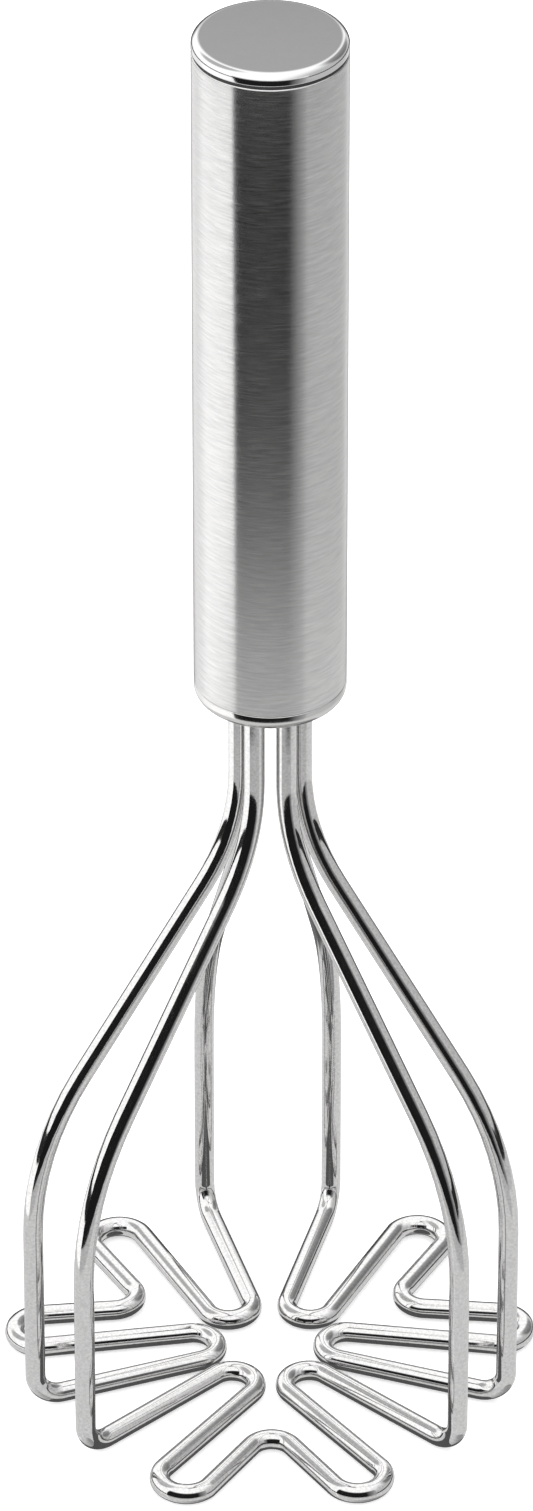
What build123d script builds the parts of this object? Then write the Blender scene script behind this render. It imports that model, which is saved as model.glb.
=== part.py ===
from build123d import *
import math
import os

# A wire-headed hand masher: a capped stainless tube handle whose ferrule holds three bent wires.
# Millimetres, +Z up the handle, origin on the resting plane under the handle axis.
# The front wire faces -Y; the side wires are the same bent wire turned about the handle axis.

# ---- handle tube ----
tube_dia = 28.0
tube_wall = 1.0
tube_length = 131.0
tube_bottom_z = 155.0
tube_edge_round = 0.3
tube_bore = tube_dia - 2 * tube_wall
tube_top_z = tube_bottom_z + tube_length

# ---- fits ----
slide_gap = 0.05          # radial gap of a spigot in the tube bore
wire_hole_gap = 0.05      # radial gap of a wire in its drilled hole

# ---- top cap and the black ring under it ----
seal_thickness = 0.5
seal_setback = 0.1        # the ring's rim lies this far inside the tube's face
top_cap_height = 2.4
top_cap_round = 1.4
top_cap_under_round = 0.3
top_cap_skirt = 9.0
top_cap_floor = 2.2
skirt_wall = 1.3

# ---- ferrule, the turned cap at the wire end ----
ferrule_height = 3.3
ferrule_round = 2.2
ferrule_floor = 4.0
ferrule_skirt = 12.0

# ---- anchor disc that the wire ends are welded to ----
anchor_thickness = 2.0
anchor_edge_gap = 0.5     # radial gap to the tube bore
wire_stub = 1.2           # wire end standing above the disc
weld_height = 1.0
weld_top_width = 0.2
weld_gap = 0.2            # left open between neighbouring welds

# ---- bent wires ----
wire_dia = 3.8
exit_web = 1.8            # open space between neighbouring wires where they leave the ferrule
exit_half_angle = 30.0    # each wire end from the wire's own centre plane
side_wire_turn = 117.5    # from the front wire to each side wire
upper_bend_drop = 33.5    # from the tube's lower end down to the upper bend's corner
upper_bend_radius = 42.0
shoulder_bend_z = 59.0
shoulder_bend_radius = 60.0
foot_bend_radius = 5.5

# ground zigzag, seen from above with the wire facing -Y: half width, then distance out
foot_half_width = 35.0
foot_out = 32.1
inner_tip_angle = 30.0
inner_bend_radius = 4.5
inner_tip_gap = 1.3       # open space between the inner tips of neighbouring wires
outer_tip_half_width = 16.0
outer_tip_out = 41.0
outer_bend_radius = 5.1
middle_out = 34.0
middle_bend_radius = 4.5

wire_radius = wire_dia / 2
upper_bend_z = tube_bottom_z - upper_bend_drop
nearest_exits = math.radians(min(2 * exit_half_angle, side_wire_turn - 2 * exit_half_angle))
exit_circle_radius = (wire_dia + exit_web) / (2 * math.sin(nearest_exits / 2))
nearest_tips = math.radians(min(2 * inner_tip_angle, side_wire_turn - 2 * inner_tip_angle))
inner_tip_spacing = 2 * inner_bend_radius + wire_dia + inner_tip_gap
inner_tip_radius = inner_tip_spacing / (2 * math.sin(nearest_tips / 2))
weld_width = exit_web / 2 - wire_hole_gap - weld_gap / 2
anchor_bottom_z = tube_bottom_z + ferrule_skirt
anchor_top_z = anchor_bottom_z + anchor_thickness
wire_top_z = anchor_top_z + wire_stub
exit_angles = [
    turn + side
    for turn in (0.0, -side_wire_turn, side_wire_turn)
    for side in (-exit_half_angle, exit_half_angle)
]


def disc(radius, bottom_z, height):
    """An upright cylinder on the handle axis."""
    return Pos(0, 0, bottom_z) * Cylinder(radius, height, align=(Align.CENTER, Align.CENTER, Align.MIN))


def exit_point(angle, z=0.0):
    """A point on the wire exit circle; angle 0 faces -Y and grows anticlockwise seen from above."""
    turn = math.radians(angle)
    return Vector(exit_circle_radius * math.sin(turn), -exit_circle_radius * math.cos(turn), z)


def wire_holes(bottom_z, height):
    """The six wire clearance holes, as solids to cut."""
    hole = Cylinder(wire_radius + wire_hole_gap, height, align=(Align.CENTER, Align.CENTER, Align.MIN))
    return [Pos(exit_point(angle, bottom_z)) * hole for angle in exit_angles]


def make_handle_tube():
    """Straight brushed tube, both ends deburred to a small round."""
    tube = disc(tube_dia / 2, tube_bottom_z, tube_length) - disc(tube_bore / 2, tube_bottom_z, tube_length)
    outer_edges = [
        edge for edge in tube.edges().filter_by(GeomType.CIRCLE) if edge.radius > tube_dia / 2 - tube_wall / 2
    ]
    return fillet(outer_edges, tube_edge_round)


def make_top_cap():
    """Solid disc with a rounded rim, on a hollow skirt that slides into the tube."""
    rim_z = tube_top_z + seal_thickness
    head = disc(tube_dia / 2, rim_z, top_cap_height)
    head = fillet(head.edges().group_by(Axis.Z)[-1], top_cap_round)
    head = fillet(head.edges().group_by(Axis.Z)[0], top_cap_under_round)
    skirt_radius = tube_bore / 2 - slide_gap
    skirt_bottom_z = tube_top_z - top_cap_skirt
    skirt = disc(skirt_radius, skirt_bottom_z, rim_z - skirt_bottom_z)
    hollow_top_z = rim_z + top_cap_height - top_cap_floor
    hollow = disc(skirt_radius - skirt_wall, skirt_bottom_z, hollow_top_z - skirt_bottom_z)
    return head + skirt - hollow


def make_cap_seal():
    """Flat black ring squeezed between the cap's flange and the tube's end."""
    outer = disc(tube_dia / 2 - seal_setback, tube_top_z, seal_thickness)
    return outer - disc(tube_bore / 2, tube_top_z, seal_thickness)


def make_ferrule():
    """Turned end cap: well rounded rim outside, skirt up the tube bore, six drilled holes."""
    rim_bottom_z = tube_bottom_z - ferrule_height
    rim = disc(tube_dia / 2, rim_bottom_z, ferrule_height)
    rim = fillet(rim.edges().group_by(Axis.Z)[0], ferrule_round)
    skirt_radius = tube_bore / 2 - slide_gap
    skirt = disc(skirt_radius, tube_bottom_z, ferrule_skirt)
    floor_top_z = rim_bottom_z + ferrule_floor
    hollow = disc(skirt_radius - skirt_wall, floor_top_z, anchor_bottom_z - floor_top_z)
    return rim + skirt - hollow - wire_holes(rim_bottom_z, ferrule_floor)


def make_anchor_disc():
    """Plate on top of the ferrule's skirt; the six wire ends pass through it."""
    plate = disc(tube_bore / 2 - anchor_edge_gap, anchor_bottom_z, anchor_thickness)
    return plate - wire_holes(anchor_bottom_z, anchor_thickness)


def make_wire_welds():
    """One ring of weld round each wire end, on top of the anchor disc."""
    inner = wire_radius + wire_hole_gap
    bead = Cone(
        inner + weld_width,
        inner + weld_top_width,
        weld_height,
        align=(Align.CENTER, Align.CENTER, Align.MIN),
    ) - Cylinder(inner, weld_height, align=(Align.CENTER, Align.CENTER, Align.MIN))
    return Compound(children=[Pos(exit_point(angle, anchor_top_z)) * bead for angle in exit_angles])


def straight_run(start, end):
    """Ends of the straight run that leaves one bend and enters the next.

    A bend is (centre, signed radius): positive turns left, negative turns right, zero is a corner.
    """
    (start_centre, start_radius), (end_centre, end_radius) = start, end
    gap = end_centre - start_centre
    lean = math.degrees(math.asin((start_radius - end_radius) / gap.length))
    along = gap.normalized().rotate(Axis.Z, lean)
    left = along.rotate(Axis.Z, 90)
    return start_centre - left * start_radius, end_centre - left * end_radius


def make_wire():
    """One wire of the head, facing -Y: two legs joined by the ground zigzag."""
    floor_z = wire_radius
    tip = math.radians(inner_tip_angle)
    inner_x = inner_tip_radius * math.sin(tip)
    inner_y = inner_tip_radius * math.cos(tip)
    bends = [
        (Vector(-foot_half_width, -foot_out, floor_z), 0.0),
        (Vector(-inner_x, -inner_y, floor_z), -inner_bend_radius),
        (Vector(-outer_tip_half_width, -outer_tip_out, floor_z), outer_bend_radius),
        (Vector(0, -middle_out, floor_z), -middle_bend_radius),
        (Vector(outer_tip_half_width, -outer_tip_out, floor_z), outer_bend_radius),
        (Vector(inner_x, -inner_y, floor_z), -inner_bend_radius),
        (Vector(foot_half_width, -foot_out, floor_z), 0.0),
    ]
    runs = [straight_run(bends[i], bends[i + 1]) for i in range(len(bends) - 1)]
    leg_bend_radii = [upper_bend_radius, shoulder_bend_radius, foot_bend_radius]
    legs = []
    for side, run_end in ((-1, runs[0][1]), (1, runs[-1][0])):
        foot = Vector(side * foot_half_width, -foot_out, floor_z)
        top = exit_point(side * exit_half_angle, wire_top_z)
        corners = [
            top,
            Vector(top.X, top.Y, upper_bend_z),
            Vector(foot.X, foot.Y, shoulder_bend_z),
            foot,
            run_end,
        ]
        legs.append(FilletPolyline(*corners, radius=leg_bend_radii))
    edges = list(legs[0].edges())
    for i in range(1, len(bends) - 1):
        centre, radius = bends[i]
        arrive = runs[i - 1]
        heading = (arrive[1] - arrive[0]).normalized()
        edges.append(Edge.make_tangent_arc(arrive[1], heading, runs[i][0]))
        if i < len(bends) - 2:
            edges.append(Edge.make_line(*runs[i]))
    edges += list(legs[1].edges())
    path = Wire(edges)
    start_plane = Plane(path @ 0, z_dir=path % 0)
    return path, sweep(start_plane * Circle(wire_radius), path=path)


def write_parts():
    os.makedirs("parts", exist_ok=True)
    path, wire = make_wire()
    pieces = {
        "handle_tube": make_handle_tube(),
        "top_cap": make_top_cap(),
        "cap_seal_ring": make_cap_seal(),
        "ferrule": make_ferrule(),
        "anchor_disc": make_anchor_disc(),
        "wire_welds": make_wire_welds(),
        "front_wire": wire,
        "left_wire": Rot(0, 0, -side_wire_turn) * wire,
        "right_wire": Rot(0, 0, side_wire_turn) * wire,
    }
    expected = math.pi * wire_radius**2 * path.length
    print("wire length", round(path.length, 1), "volume ratio", round(wire.volume / expected, 5))
    for name, piece in pieces.items():
        export_step(piece, f"parts/{name}.step")


write_parts()
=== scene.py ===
import bpy
import bmesh
from math import asin, atan2, cos, pi, radians, sin, tan
from mathutils import Matrix, Vector


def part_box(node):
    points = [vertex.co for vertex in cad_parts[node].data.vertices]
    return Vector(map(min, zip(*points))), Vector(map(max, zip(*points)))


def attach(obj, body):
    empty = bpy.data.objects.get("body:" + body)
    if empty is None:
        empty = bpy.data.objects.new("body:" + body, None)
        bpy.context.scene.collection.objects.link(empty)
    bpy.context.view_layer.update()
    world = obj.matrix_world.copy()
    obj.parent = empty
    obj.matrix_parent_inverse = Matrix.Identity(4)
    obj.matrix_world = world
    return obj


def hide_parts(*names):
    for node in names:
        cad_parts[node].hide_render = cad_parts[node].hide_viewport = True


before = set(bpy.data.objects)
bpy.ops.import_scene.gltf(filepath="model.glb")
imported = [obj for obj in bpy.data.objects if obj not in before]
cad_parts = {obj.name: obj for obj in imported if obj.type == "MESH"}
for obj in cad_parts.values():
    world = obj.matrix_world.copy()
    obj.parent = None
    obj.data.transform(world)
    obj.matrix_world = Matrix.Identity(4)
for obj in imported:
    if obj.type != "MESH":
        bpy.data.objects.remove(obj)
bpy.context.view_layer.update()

# ---- the three bent wires of the head ----
# Stainless spring wire, drawn, cut, bent cold round pegs and then polished all over.
# Each wire is one length: down one leg, across the ground zigzag and up the other leg.
mm = 0.001
wire_radius = 1.9 * mm
wire_web = 1.8 * mm
wire_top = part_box("front_wire")[1].z
tube_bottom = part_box("handle_tube")[0].z
upper_bend_drop = 33.5 * mm
upper_bend_z = tube_bottom - upper_bend_drop
upper_bend = 42 * mm
shoulder_bend_z = 59 * mm
shoulder_bend = 60 * mm
foot_bend = 5.5 * mm
exit_half_angle = radians(30)
side_wire_turn = radians(117.5)
nearest_wires = side_wire_turn - 2 * exit_half_angle
exit_radius = (2 * wire_radius + wire_web) / (2 * sin(nearest_wires / 2))
foot = Vector((35 * mm, -32.1 * mm, wire_radius))
inner_tip_bend = 4.5 * mm
inner_tip_gap = 1.3 * mm
inner_tip_radius = (2 * inner_tip_bend + 2 * wire_radius + inner_tip_gap) / (2 * sin(nearest_wires / 2))
outer_tip = Vector((16 * mm, -41 * mm, wire_radius))
outer_tip_bend = 5.1 * mm
middle_peg = Vector((0, -34 * mm, wire_radius))
middle_bend = 4.5 * mm
ring_sides = 40
bend_step = radians(4)
fewest_bend_steps = 4
same_point = 1e-7
sharp_edge = radians(35)


def mirrored(point):
    """The same point on the other half of the wire."""
    return Vector((-point.x, point.y, point.z))


def round_exit(angle, z):
    """A point on the circle of wire holes; angle 0 faces -Y."""
    return Vector((exit_radius * sin(angle), -exit_radius * cos(angle), z))


def corner_bend(before, corner, after, radius):
    """Start, centre, axis and angle of the bend that rounds a corner."""
    arrive = (corner - before).normalized()
    leave = (after - corner).normalized()
    turn = arrive.angle(leave)
    axis = arrive.cross(leave).normalized()
    start = corner - arrive * radius * tan(turn / 2)
    return start, start + axis.cross(arrive) * radius, axis, turn


def run_between(peg, next_peg):
    """Both ends of the straight run from one peg to the next.

    A peg is (centre, radius), and its radius is negative where the wire turns right.
    """
    gap = next_peg[0] - peg[0]
    lean = asin((peg[1] - next_peg[1]) / gap.length)
    along = Matrix.Rotation(lean, 3, "Z") @ gap.normalized()
    left = Vector((-along.y, along.x, 0))
    return peg[0] - left * peg[1], next_peg[0] - left * next_peg[1]


def wire_bends():
    """Every bend of the front wire in order, from the top of its left leg."""
    inner_x = inner_tip_radius * sin(exit_half_angle)
    inner_y = -inner_tip_radius * cos(exit_half_angle)
    inner_tip = Vector((inner_x, inner_y, foot.z))
    pegs = [
        (mirrored(foot), 0),
        (mirrored(inner_tip), -inner_tip_bend),
        (mirrored(outer_tip), outer_tip_bend),
        (middle_peg, -middle_bend),
        (outer_tip, outer_tip_bend),
        (inner_tip, -inner_tip_bend),
        (foot, 0),
    ]
    runs = [run_between(a, b) for a, b in zip(pegs, pegs[1:])]
    right_top = round_exit(exit_half_angle, wire_top)
    right_leg = [
        right_top,
        Vector((right_top.x, right_top.y, upper_bend_z)),
        Vector((foot.x, foot.y, shoulder_bend_z)),
        foot,
    ]
    left_leg = [mirrored(point) for point in right_leg]
    down = left_leg + [runs[0][1]]
    up = [runs[-1][0]] + right_leg[::-1]
    leg_radii = [upper_bend, shoulder_bend, foot_bend]
    bends = [corner_bend(down[i], down[i + 1], down[i + 2], leg_radii[i]) for i in range(3)]
    for i in range(1, len(pegs) - 1):
        arrive = runs[i - 1][1] - runs[i - 1][0]
        leave = runs[i][1] - runs[i][0]
        axis = Vector((0, 0, 1 if pegs[i][1] > 0 else -1))
        bends.append((runs[i - 1][1], pegs[i][0], axis, arrive.angle(leave)))
    bends += [corner_bend(up[i], up[i + 1], up[i + 2], leg_radii[2 - i]) for i in range(3)]
    return left_leg[0], bends, right_top


def bend_wire():
    """Draws the wire out of one cut end, run by run and bend by bend."""
    start, bends, end = wire_bends()
    shape = bmesh.new()
    made = bmesh.ops.create_circle(shape, cap_ends=False, segments=ring_sides, radius=wire_radius)
    bmesh.ops.translate(shape, verts=made["verts"], vec=start)
    ring = list(shape.edges)
    first_ring = list(ring)
    here = start

    def draw_to(point):
        nonlocal ring, here
        made = bmesh.ops.extrude_edge_only(shape, edges=ring)["geom"]
        verts = [item for item in made if isinstance(item, bmesh.types.BMVert)]
        ring = [item for item in made if isinstance(item, bmesh.types.BMEdge)]
        bmesh.ops.translate(shape, verts=verts, vec=point - here)
        here = point

    for bend_start, centre, axis, turn in bends:
        draw_to(bend_start)
        steps = max(fewest_bend_steps, round(turn / bend_step))
        verts = {vert for edge in ring for vert in edge.verts}
        made = bmesh.ops.spin(shape, geom=list(verts) + ring, cent=centre, axis=axis, angle=turn, steps=steps)
        ring = [item for item in made["geom_last"] if isinstance(item, bmesh.types.BMEdge)]
        here = centre + Matrix.Rotation(turn, 3, axis) @ (here - centre)
    draw_to(end)
    for rim in (first_ring, ring):
        bmesh.ops.contextual_create(shape, geom=rim)
    return shape


def mark_sharp_edges(shape, sharp):
    """Keeps the edges that turn by more than an angle crisp."""
    for edge in shape.edges:
        edge.smooth = edge.calc_face_angle(0) < sharp


def finish_mesh(name, shape, material, sharp=sharp_edge):
    """Turns a bmesh into a piece: faces outward, smooth but for its sharp edges."""
    bmesh.ops.remove_doubles(shape, verts=shape.verts, dist=same_point)
    bmesh.ops.recalc_face_normals(shape, faces=shape.faces)
    for face in shape.faces:
        face.smooth = True
    mark_sharp_edges(shape, sharp)
    mesh = bpy.data.meshes.new(name)
    shape.to_mesh(mesh)
    shape.free()
    mesh.materials.append(material)
    piece = bpy.data.objects.new(name, mesh)
    bpy.context.scene.collection.objects.link(piece)
    return piece


def new_finish(name):
    """A new material, its node tree and its main shader."""
    material = bpy.data.materials.new(name)
    material.use_nodes = True
    tree = material.node_tree
    shader = tree.nodes["Principled BSDF"]
    return material, tree, shader


def add_node(tree, kind, **settings):
    """Adds a node and sets its options."""
    node = tree.nodes.new(kind)
    for key, value in settings.items():
        setattr(node, key, value)
    return node


def object_pattern(tree, scale=(1, 1, 1)):
    """Object coordinates, squeezed or stretched by a Mapping node."""
    place = add_node(tree, "ShaderNodeTexCoord")
    stretch = add_node(tree, "ShaderNodeMapping")
    stretch.inputs["Scale"].default_value = scale
    tree.links.new(place.outputs["Object"], stretch.inputs["Vector"])
    return stretch.outputs["Vector"]


def noise(tree, where, scale, detail=2.0, roughness=0.5):
    """The value of a noise pattern, a higher scale making it finer."""
    node = add_node(tree, "ShaderNodeTexNoise")
    node.inputs["Scale"].default_value = scale
    node.inputs["Detail"].default_value = detail
    node.inputs["Roughness"].default_value = roughness
    tree.links.new(where, node.inputs["Vector"])
    return node.outputs["Fac"]


def spread(tree, value, low, high, from_low=0.3, from_high=0.7):
    """Maps a pattern's values onto a range."""
    node = add_node(tree, "ShaderNodeMapRange")
    node.inputs["From Min"].default_value = from_low
    node.inputs["From Max"].default_value = from_high
    node.inputs["To Min"].default_value = low
    node.inputs["To Max"].default_value = high
    tree.links.new(value, node.inputs["Value"])
    return node.outputs["Result"]


def colour_between(tree, value, dark, light):
    """Blends two colours by a pattern's value."""
    node = add_node(tree, "ShaderNodeMix", data_type="RGBA")
    node.inputs["A"].default_value = (*dark, 1)
    node.inputs["B"].default_value = (*light, 1)
    tree.links.new(value, node.inputs["Factor"])
    return node.outputs["Result"]


def raise_surface(tree, shader, height, distance, strength):
    """Bumps a finish by a pattern's value."""
    node = add_node(tree, "ShaderNodeBump")
    node.inputs["Strength"].default_value = strength
    node.inputs["Distance"].default_value = distance
    tree.links.new(height, node.inputs["Height"])
    tree.links.new(node.outputs["Normal"], shader.inputs["Normal"])


def polished_wire_finish():
    """Bright polished wire: a fine grain, and a slight waviness from drawing and bending."""
    material, tree, shader = new_finish("polished_wire")
    shader.inputs["Metallic"].default_value = 1.0
    even = object_pattern(tree)
    cloud = noise(tree, even, 220, 3)
    grain = noise(tree, even, 1900, 3, 0.6)
    tint = colour_between(tree, spread(tree, grain, 0, 1), (0.55, 0.545, 0.545), (0.70, 0.695, 0.69))
    tree.links.new(tint, shader.inputs["Base Color"])
    tree.links.new(spread(tree, cloud, 0.04, 0.09), shader.inputs["Roughness"])
    raise_surface(tree, shader, cloud, 0.02 * mm, 0.5)
    return material


wire_finish = polished_wire_finish()
for name, turn in (("front_wire", 0), ("left_wire", -side_wire_turn), ("right_wire", side_wire_turn)):
    shape = bend_wire()
    bmesh.ops.rotate(shape, cent=(0, 0, 0), matrix=Matrix.Rotation(turn, 3, "Z"), verts=shape.verts)
    wire = finish_mesh("bent_" + name, shape, wire_finish)
    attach(wire, "root")
    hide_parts(name)

# ---- ferrule at the wire end of the handle ----
# Turned and polished stainless cap with a well rounded rim; its skirt is pressed into the tube.
# Six holes are drilled through its floor for the wires.
ferrule_low, ferrule_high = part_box("ferrule")
tube_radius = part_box("handle_tube")[1].x
tube_wall = 1 * mm
slide_gap = 0.05 * mm
bore_radius = tube_radius - tube_wall
skirt_radius = bore_radius - slide_gap
hole_radius = wire_radius + slide_gap
hole_sides = 48
drill_overrun = 1 * mm
skirt_wall = 1.3 * mm
ferrule_round = 2.2 * mm
ferrule_floor = 4.0 * mm
small_round = 0.2 * mm
neck_radius = tube_radius - slide_gap
turned_sides = 160


def arc_points(centre, radius, start, end, steps=8):
    """Profile points (r, z) round an arc, angles in degrees from +r towards +z."""
    angles = [radians(start + (end - start) * i / steps) for i in range(steps + 1)]
    return [(centre[0] + radius * cos(a), centre[1] + radius * sin(a)) for a in angles]


def turn_on_lathe(profile, closed):
    """Spins a profile of (r, z) points once round the handle axis."""
    shape = bmesh.new()
    verts = [shape.verts.new((r, 0, z)) for r, z in profile]
    edges = [shape.edges.new(pair) for pair in zip(verts, verts[1:])]
    if closed:
        edges.append(shape.edges.new((verts[-1], verts[0])))
    bmesh.ops.spin(shape, geom=verts + edges, cent=(0, 0, 0), axis=(0, 0, 1), angle=2 * pi,
                   steps=turned_sides, use_merge=True)
    bmesh.ops.remove_doubles(shape, verts=shape.verts, dist=same_point)
    return shape


def drill_wire_holes(piece, bottom, top):
    """Drills the six wire holes right through a turned piece."""
    low = bottom - drill_overrun
    high = top + drill_overrun
    drill = bmesh.new()
    for turn in (0, -side_wire_turn, side_wire_turn):
        for side in (-exit_half_angle, exit_half_angle):
            middle = round_exit(turn + side, (low + high) / 2)
            bmesh.ops.create_cone(drill, cap_ends=True, segments=hole_sides, radius1=hole_radius,
                                  radius2=hole_radius, depth=high - low, matrix=Matrix.Translation(middle))
    bits = bpy.data.meshes.new("drill_bits")
    drill.to_mesh(bits)
    drill.free()
    bit_piece = bpy.data.objects.new("drill_bits", bits)
    bpy.context.scene.collection.objects.link(bit_piece)
    cut = piece.modifiers.new("wire_holes", "BOOLEAN")
    cut.operation = "DIFFERENCE"
    cut.solver = "EXACT"
    cut.object = bit_piece
    cut_piece = piece.evaluated_get(bpy.context.evaluated_depsgraph_get())
    drilled = bpy.data.meshes.new_from_object(cut_piece)
    piece.modifiers.clear()
    piece.data = drilled
    bpy.data.objects.remove(bit_piece)
    shape = bmesh.new()
    shape.from_mesh(drilled)
    mark_sharp_edges(shape, sharp_edge)
    shape.to_mesh(drilled)
    shape.free()


def polished_ferrule_finish():
    """Turned and buffed stainless: mirror bright with the faintest lathe rings."""
    material, tree, shader = new_finish("polished_ferrule")
    shader.inputs["Metallic"].default_value = 1.0
    rings = noise(tree, object_pattern(tree, (0.05, 0.05, 1)), 9000, 2)
    cloud = noise(tree, object_pattern(tree), 300, 3)
    tint = colour_between(tree, spread(tree, cloud, 0, 1), (0.60, 0.595, 0.59), (0.68, 0.675, 0.67))
    tree.links.new(tint, shader.inputs["Base Color"])
    tree.links.new(spread(tree, cloud, 0.09, 0.15), shader.inputs["Roughness"])
    raise_surface(tree, shader, rings, 0.002 * mm, 0.6)
    return material


ferrule_bottom = ferrule_low.z
ferrule_profile = [(0, ferrule_bottom)]
ferrule_profile += arc_points((tube_radius - ferrule_round, ferrule_bottom + ferrule_round),
                              ferrule_round, -90, 0, 14)
ferrule_profile += arc_points((neck_radius - small_round, tube_bottom - small_round), small_round, 4, 90, 5)
ferrule_profile += [
    (skirt_radius, tube_bottom),
    (skirt_radius, ferrule_high.z),
    (skirt_radius - skirt_wall, ferrule_high.z),
    (skirt_radius - skirt_wall, ferrule_bottom + ferrule_floor),
    (0, ferrule_bottom + ferrule_floor),
]
ferrule = finish_mesh("turned_ferrule", turn_on_lathe(ferrule_profile, False), polished_ferrule_finish())
drill_wire_holes(ferrule, ferrule_bottom, ferrule_bottom + ferrule_floor)
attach(ferrule, "root")
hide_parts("ferrule")

# ---- anchor disc inside the tube ----
# A plain steel plate that sits on the ferrule's skirt; the six wire ends pass through it.
anchor_low, anchor_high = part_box("anchor_disc")
anchor_edge = 0.4 * mm


def mill_finish():
    """Plain cut steel, as it leaves the press: dull, with a fine even grain."""
    material, tree, shader = new_finish("mill_steel")
    shader.inputs["Metallic"].default_value = 1.0
    grain = noise(tree, object_pattern(tree), 1500, 4)
    tint = colour_between(tree, spread(tree, grain, 0, 1), (0.42, 0.41, 0.40), (0.54, 0.53, 0.52))
    tree.links.new(tint, shader.inputs["Base Color"])
    tree.links.new(spread(tree, grain, 0.32, 0.45), shader.inputs["Roughness"])
    raise_surface(tree, shader, grain, 0.01 * mm, 0.5)
    return material


plate_radius = anchor_high.x
anchor_profile = [
    (0, anchor_low.z),
    (plate_radius - anchor_edge, anchor_low.z),
    (plate_radius, anchor_low.z + anchor_edge),
    (plate_radius, anchor_high.z - anchor_edge),
    (plate_radius - anchor_edge, anchor_high.z),
    (0, anchor_high.z),
]
plain_steel = mill_finish()
anchor = finish_mesh("anchor_plate", turn_on_lathe(anchor_profile, False), plain_steel)
drill_wire_holes(anchor, anchor_low.z, anchor_high.z)
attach(anchor, "root")
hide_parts("anchor_disc")

# ---- welds that hold the wire ends ----
# One ring of weld round each wire end on top of the plate, laid in overlapping ripples.
weld_low, weld_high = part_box("wire_welds")
weld_inner = hole_radius
weld_foot = weld_inner + 0.75 * mm
weld_top = weld_inner + 0.2 * mm
weld_height = weld_high.z - weld_low.z
weld_ripples = 16
sides_per_ripple = 6
ripple_depth = 0.12
weld_crease = radians(60)


def weld_bead(centre):
    """A crowned ring whose top edge rises and falls with each ripple."""
    profile = [
        (weld_inner, 0),
        (weld_foot, 0),
        (weld_foot - 0.08 * mm, 0.35 * weld_height),
        (weld_foot - 0.3 * mm, 0.75 * weld_height),
        (weld_top, weld_height),
        (weld_inner, weld_height),
    ]
    shape = bmesh.new()
    verts = [shape.verts.new((r, 0, z)) for r, z in profile]
    edges = [shape.edges.new((verts[i], verts[(i + 1) % len(verts)])) for i in range(len(verts))]
    bmesh.ops.spin(shape, geom=verts + edges, cent=(0, 0, 0), axis=(0, 0, 1), angle=2 * pi,
                   steps=weld_ripples * sides_per_ripple, use_merge=True)
    bmesh.ops.remove_doubles(shape, verts=shape.verts, dist=same_point)
    for vert in shape.verts:
        if vert.co.z > 0:
            wave = 0.5 - 0.5 * cos(weld_ripples * atan2(vert.co.y, vert.co.x))
            vert.co.z *= 1 - ripple_depth * wave
    bmesh.ops.translate(shape, verts=shape.verts, vec=centre)
    return shape


welds = bmesh.new()
for turn in (0, -side_wire_turn, side_wire_turn):
    for side in (-exit_half_angle, exit_half_angle):
        bead = weld_bead(round_exit(turn + side, weld_low.z))
        bead_mesh = bpy.data.meshes.new("bead")
        bead.to_mesh(bead_mesh)
        bead.free()
        welds.from_mesh(bead_mesh)
        bpy.data.meshes.remove(bead_mesh)
weld_piece = finish_mesh("weld_rings", welds, plain_steel, weld_crease)
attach(weld_piece, "root")
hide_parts("wire_welds")

# ---- handle tube ----
# Seamless stainless tube, 1 mm wall, both ends deburred, brushed round and round on a belt.
tube_low, tube_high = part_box("handle_tube")
tube_edge_round = 0.3 * mm


def brushed_finish():
    """Fine scratches run round the tube in short strokes, some deeper than others."""
    material, tree, shader = new_finish("brushed_tube")
    shader.inputs["Metallic"].default_value = 1.0
    shader.inputs["Anisotropic"].default_value = 0.65
    shader.inputs["Anisotropic Rotation"].default_value = 0.25
    round_axis = add_node(tree, "ShaderNodeTangent", direction_type="RADIAL", axis="Z")
    tree.links.new(round_axis.outputs["Tangent"], shader.inputs["Tangent"])
    strokes = noise(tree, object_pattern(tree, (0.10, 0.10, 1)), 2300, 3, 0.6)
    hairs = noise(tree, object_pattern(tree, (0.06, 0.06, 1)), 3600, 2, 0.6)
    tint = colour_between(tree, spread(tree, strokes, 0, 1), (0.54, 0.537, 0.535), (0.65, 0.646, 0.642))
    tree.links.new(tint, shader.inputs["Base Color"])
    tree.links.new(spread(tree, hairs, 0.20, 0.26), shader.inputs["Roughness"])
    raise_surface(tree, shader, hairs, 0.003 * mm, 0.5)
    return material


tube_profile = [(bore_radius, tube_low.z)]
tube_edge = tube_radius - tube_edge_round
tube_profile += arc_points((tube_edge, tube_low.z + tube_edge_round), tube_edge_round, -90, 0, 6)
tube_profile += arc_points((tube_edge, tube_high.z - tube_edge_round), tube_edge_round, 0, 90, 6)
tube_profile += [(bore_radius, tube_high.z)]
tube = finish_mesh("brushed_handle", turn_on_lathe(tube_profile, True), brushed_finish())
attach(tube, "root")
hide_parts("handle_tube")

# ---- black ring under the top cap ----
# A thin rubber ring squeezed between the cap and the tube's end; its rim bulges slightly.
ring_low, ring_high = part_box("cap_seal_ring")
ring_radius = ring_high.x
ring_middle = (ring_low.z + ring_high.z) / 2
ring_half = (ring_high.z - ring_low.z) / 2


def rubber_finish():
    """Black moulded rubber with a dull, very slightly uneven skin."""
    material, tree, shader = new_finish("black_rubber")
    skin = noise(tree, object_pattern(tree), 900, 3)
    tint = colour_between(tree, spread(tree, skin, 0, 1), (0.010, 0.010, 0.011), (0.022, 0.022, 0.023))
    tree.links.new(tint, shader.inputs["Base Color"])
    tree.links.new(spread(tree, skin, 0.5, 0.65), shader.inputs["Roughness"])
    raise_surface(tree, shader, skin, 0.01 * mm, 0.4)
    return material


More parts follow.
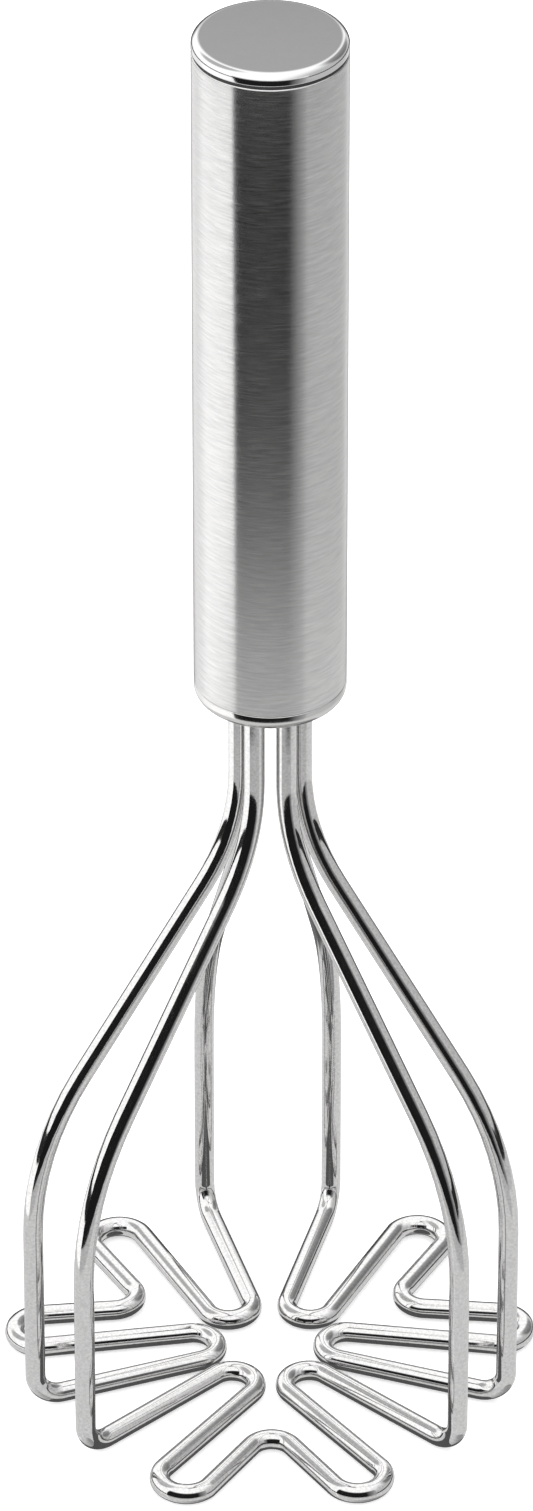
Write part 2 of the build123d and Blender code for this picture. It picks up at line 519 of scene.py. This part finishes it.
ring_profile = [(bore_radius, ring_low.z)]
ring_profile += arc_points((ring_radius - ring_half, ring_middle), ring_half, -90, 90, 8)
ring_profile += [(bore_radius, ring_high.z)]
seal = finish_mesh("rubber_ring", turn_on_lathe(ring_profile, True), rubber_finish())
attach(seal, "root")
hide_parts("cap_seal_ring")

# ---- top cap ----
# Pressed stainless disc with a satin face and a polished rounded rim; its skirt slides into the tube.
cap_low, cap_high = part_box("top_cap")
cap_round = 1.4 * mm
cap_under_round = 0.3 * mm
cap_height = 2.4 * mm
cap_floor = 2.2 * mm
cap_rim_roughness = 0.12
cap_rim_tint = (0.66, 0.66, 0.665, 1)
rim_z = cap_high.z - cap_height


def cap_finish():
    """Satin on the flat face, bright on the rim, told apart by the distance from the handle axis."""
    material, tree, shader = new_finish("cap_steel")
    shader.inputs["Metallic"].default_value = 1.0
    flat = add_node(tree, "ShaderNodeVectorMath", operation="MULTIPLY")
    flat.inputs[1].default_value = (1, 1, 0)
    tree.links.new(object_pattern(tree), flat.inputs[0])
    distance = add_node(tree, "ShaderNodeVectorMath", operation="LENGTH")
    tree.links.new(flat.outputs["Vector"], distance.inputs[0])
    face_edge = cap_high.x - cap_round
    rim = spread(tree, distance.outputs["Value"], 0, 1, face_edge - 0.1 * mm, face_edge + 0.35 * mm)
    mottle = noise(tree, object_pattern(tree), 420, 5, 0.6)
    face_rough = spread(tree, mottle, 0.38, 0.50)
    rough = add_node(tree, "ShaderNodeMix", data_type="FLOAT")
    tree.links.new(rim, rough.inputs["Factor"])
    tree.links.new(face_rough, rough.inputs["A"])
    rough.inputs["B"].default_value = cap_rim_roughness
    tree.links.new(rough.outputs["Result"], shader.inputs["Roughness"])
    face_tint = colour_between(tree, spread(tree, mottle, 0, 1), (0.27, 0.265, 0.267), (0.31, 0.305, 0.307))
    tint = add_node(tree, "ShaderNodeMix", data_type="RGBA")
    tree.links.new(rim, tint.inputs["Factor"])
    tree.links.new(face_tint, tint.inputs["A"])
    tint.inputs["B"].default_value = cap_rim_tint
    tree.links.new(tint.outputs["Result"], shader.inputs["Base Color"])
    raise_surface(tree, shader, mottle, 0.006 * mm, 0.5)
    return material


cap_profile = [(0, cap_high.z)]
cap_profile += arc_points((tube_radius - cap_round, cap_high.z - cap_round), cap_round, 90, 0, 12)
cap_profile += arc_points((tube_radius - cap_under_round, rim_z + cap_under_round),
                          cap_under_round, 0, -90, 5)
cap_profile += [
    (skirt_radius, rim_z),
    (skirt_radius, cap_low.z),
    (skirt_radius - skirt_wall, cap_low.z),
    (skirt_radius - skirt_wall, cap_high.z - cap_floor),
    (0, cap_high.z - cap_floor),
]
cap = finish_mesh("capped_end", turn_on_lathe(cap_profile, False), cap_finish())
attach(cap, "root")
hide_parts("top_cap")

# ---- studio floor and backdrop ----
# A seamless pale floor of matt acrylic, lit through from below so that the fine wires throw no shadow,
# and a round white backdrop far behind it. The polished metal sees neither of them.
floor_size = 30.0
floor_glow = 0.45
backdrop_distance = 8.0
backdrop_low = -0.5
backdrop_high = 4.0
stage_sides = 64
half_turn = radians(180)


def stage_sheet(name, shape, material):
    """A floor, backdrop or card as a new object with its material."""
    mesh = bpy.data.meshes.new(name)
    shape.to_mesh(mesh)
    shape.free()
    mesh.materials.append(material)
    sheet = bpy.data.objects.new(name, mesh)
    bpy.context.scene.collection.objects.link(sheet)
    return sheet


def floor_finish():
    """Matt white acrylic, faintly clouded and lit through from below."""
    material, tree, shader = new_finish("pale_floor")
    cloud = noise(tree, object_pattern(tree), 2, 2)
    tint = colour_between(tree, cloud, (0.86, 0.86, 0.86), (0.88, 0.88, 0.88))
    tree.links.new(tint, shader.inputs["Base Color"])
    shader.inputs["Roughness"].default_value = 0.9
    shader.inputs["Specular IOR Level"].default_value = 0.0
    shader.inputs["Emission Color"].default_value = (1, 1, 1, 1)
    shader.inputs["Emission Strength"].default_value = floor_glow
    return material


def card_finish(name, shade):
    """Card or cloth that shows one even shade, 0 for black and 1 for white."""
    material = bpy.data.materials.new(name)
    material.use_nodes = True
    tree = material.node_tree
    tree.nodes.clear()
    glow = add_node(tree, "ShaderNodeEmission")
    glow.inputs["Strength"].default_value = shade
    out = add_node(tree, "ShaderNodeOutputMaterial")
    tree.links.new(glow.outputs["Emission"], out.inputs["Surface"])
    return material, tree, glow


def show_to(sheet, camera, reflections):
    """Shows a sheet to the camera or to reflections only, so that it takes no light from the scene."""
    sheet.visible_camera = camera
    sheet.visible_glossy = reflections
    sheet.visible_diffuse = False
    sheet.visible_shadow = False


def curved_sheet(name, distance, low, high, left, right, material):
    """An upright strip bent round the handle axis, between two heights and two azimuths."""
    shape = bmesh.new()
    bottom = shape.verts.new((0, -distance, low))
    top = shape.verts.new((0, -distance, high))
    edge = shape.edges.new((bottom, top))
    bmesh.ops.rotate(shape, verts=shape.verts, cent=(0, 0, 0), matrix=Matrix.Rotation(left, 3, "Z"))
    bmesh.ops.spin(shape, geom=[bottom, top, edge], cent=(0, 0, 0), axis=(0, 0, 1), angle=right - left,
                   steps=stage_sides)
    return stage_sheet(name, shape, material)


floor_shape = bmesh.new()
bmesh.ops.create_grid(floor_shape, x_segments=1, y_segments=1, size=floor_size / 2)
floor = stage_sheet("floor", floor_shape, floor_finish())
floor.visible_glossy = False
backdrop_paper = card_finish("backdrop_paper", 1.0)[0]
backdrop = curved_sheet("backdrop", backdrop_distance, backdrop_low, backdrop_high, -half_turn, half_turn,
                        backdrop_paper)
show_to(backdrop, camera=True, reflections=False)

# ---- cards that only the metal sees ----
# A black flocked card in front gives the dark band; below it the table cloth starts, shaded at its edge.
# A strip of dark felt stands at the horizon. A dim disc under the head is painted shade: it stands for the
# table's shadow beneath the head.
card_distance = 0.37
card_low = -0.084
card_high = 0.32
card_left = radians(-54)
card_right = radians(52)
card_fade_from = radians(26)
card_fade_height = 0.23
table_left = radians(-150)
table_right = radians(150)
table_low = -0.45
table_edge_distance = card_distance - 0.001
table_edge_low = -0.15
left_table_distance = 0.25
left_table_low = -0.30
left_table_high = -0.07
horizon_distance = 3.0
horizon_low = -0.66
horizon_high = -0.14
head_shadow_radius = 0.045
head_shadow_depth = 0.03


def black_card_finish():
    """Black flock that fades out at its right edge and at its top."""
    material, tree, glow = card_finish("black_card", 0.0)
    parts = add_node(tree, "ShaderNodeSeparateXYZ")
    tree.links.new(object_pattern(tree, (1, -1, 1)), parts.inputs[0])
    angle = add_node(tree, "ShaderNodeMath", operation="ARCTAN2")
    tree.links.new(parts.outputs["X"], angle.inputs[0])
    tree.links.new(parts.outputs["Y"], angle.inputs[1])
    to_right = spread(tree, angle.outputs[0], 0.015, 0.55, card_fade_from, card_right)
    to_top = spread(tree, parts.outputs["Z"], 0, 1.3, card_fade_height, card_high)
    fade = add_node(tree, "ShaderNodeMath", operation="ADD")
    tree.links.new(to_right, fade.inputs[0])
    tree.links.new(to_top, fade.inputs[1])
    tree.links.new(fade.outputs[0], glow.inputs["Strength"])
    return material


table_cloth = card_finish("table_cloth", 0.88)[0]
shaded_cloth = card_finish("shaded_cloth", 0.66)[0]
dark_felt = card_finish("dark_felt", 0.03)[0]
cards = [
    curved_sheet("black_card", card_distance, card_low, card_high, card_left, card_right,
                 black_card_finish()),
    curved_sheet("table_front", card_distance, table_low, card_low, card_left, table_right, table_cloth),
    curved_sheet("table_left", left_table_distance, left_table_low, left_table_high, table_left, card_left,
                 table_cloth),
    curved_sheet("table_edge", table_edge_distance, table_edge_low, card_low, card_left, card_right,
                 shaded_cloth),
    curved_sheet("horizon_strip", horizon_distance, horizon_low, horizon_high, -half_turn, half_turn,
                 dark_felt),
]
# Painted shade: a dim glowing disc below the floor, seen only in reflections, stands for the shadow under the
# head.
disc_shape = bmesh.new()
bmesh.ops.create_circle(disc_shape, cap_ends=True, segments=stage_sides, radius=head_shadow_radius,
                        matrix=Matrix.Translation((0, 0, -head_shadow_depth)))
cards.append(stage_sheet("painted_head_shadow", disc_shape, card_finish("painted_head_shadow", 0.12)[0]))
for card in cards:
    show_to(card, camera=False, reflections=True)

# ---- light tent ----
# Soft even light from all round, dimmer on the right, underneath, overhead in two places and behind.
# Each dim patch is its azimuth, elevation, radius and softness in degrees, and the level left inside it.
tent_light = 1.55
dim_patches = (
    (85, -22, 64, 28, 0.46),
    (0, -75, 42, 14, 0.55),
    (130, 28, 24, 8, 0.30),
    (-120, 50, 20, 6, 0.42),
    (180, -8, 27, 7, 0.10),
    (180, -58, 26, 6, 0.15),
    (-150, -25, 24, 12, 0.75),
)


def compass(azimuth, elevation):
    """A direction from its azimuth, 0 in front and 90 on the right, and its elevation, in degrees."""
    a, e = radians(azimuth), radians(elevation)
    return Vector((cos(e) * sin(a), -cos(e) * cos(a), sin(e)))


def dimmed(tree, azimuth, elevation, radius, softness, level):
    """1 outside a round patch of the tent and a lower level inside it. Angles are in degrees."""
    sight = add_node(tree, "ShaderNodeTexCoord")
    aim = add_node(tree, "ShaderNodeVectorMath", operation="DOT_PRODUCT")
    aim.inputs[1].default_value = compass(azimuth, elevation)
    tree.links.new(sight.outputs["Generated"], aim.inputs[0])
    outer = cos(radians(radius + softness))
    inner = cos(radians(radius - softness))
    patch = spread(tree, aim.outputs["Value"], 1, level, outer, inner)
    patch.node.interpolation_type = "SMOOTHSTEP"
    return patch


world = bpy.data.worlds.new("studio")
world.use_nodes = True
tent = world.node_tree
background = tent.nodes["Background"]
background.inputs["Color"].default_value = (1, 1, 1, 1)
light = None
for patch in dim_patches:
    product = add_node(tent, "ShaderNodeMath", operation="MULTIPLY")
    tent.links.new(dimmed(tent, *patch), product.inputs[0])
    if light is None:
        product.inputs[1].default_value = tent_light
    else:
        tent.links.new(light, product.inputs[1])
    light = product.outputs[0]
tent.links.new(light, background.inputs["Strength"])
bpy.context.scene.world = world

# ---- camera ----
# Long lens, looking down on the standing masher from the front.
camera_azimuth = -0.52
camera_elevation = 33.77
camera_distance = 1.7923
camera_target = Vector((-0.67, 0, 137.47)) * mm
camera_data = bpy.data.cameras.new("camera")
camera_data.sensor_width = 36
camera_data.lens = 232.57
camera = bpy.data.objects.new("camera", camera_data)
bpy.context.scene.collection.objects.link(camera)
towards = compass(camera_azimuth, camera_elevation)
camera.location = camera_target + towards * camera_distance
camera.rotation_euler = (-towards).to_track_quat("-Z", "Y").to_euler()
bpy.context.scene.camera = camera
bpy.context.scene.view_settings.view_transform = "Standard"
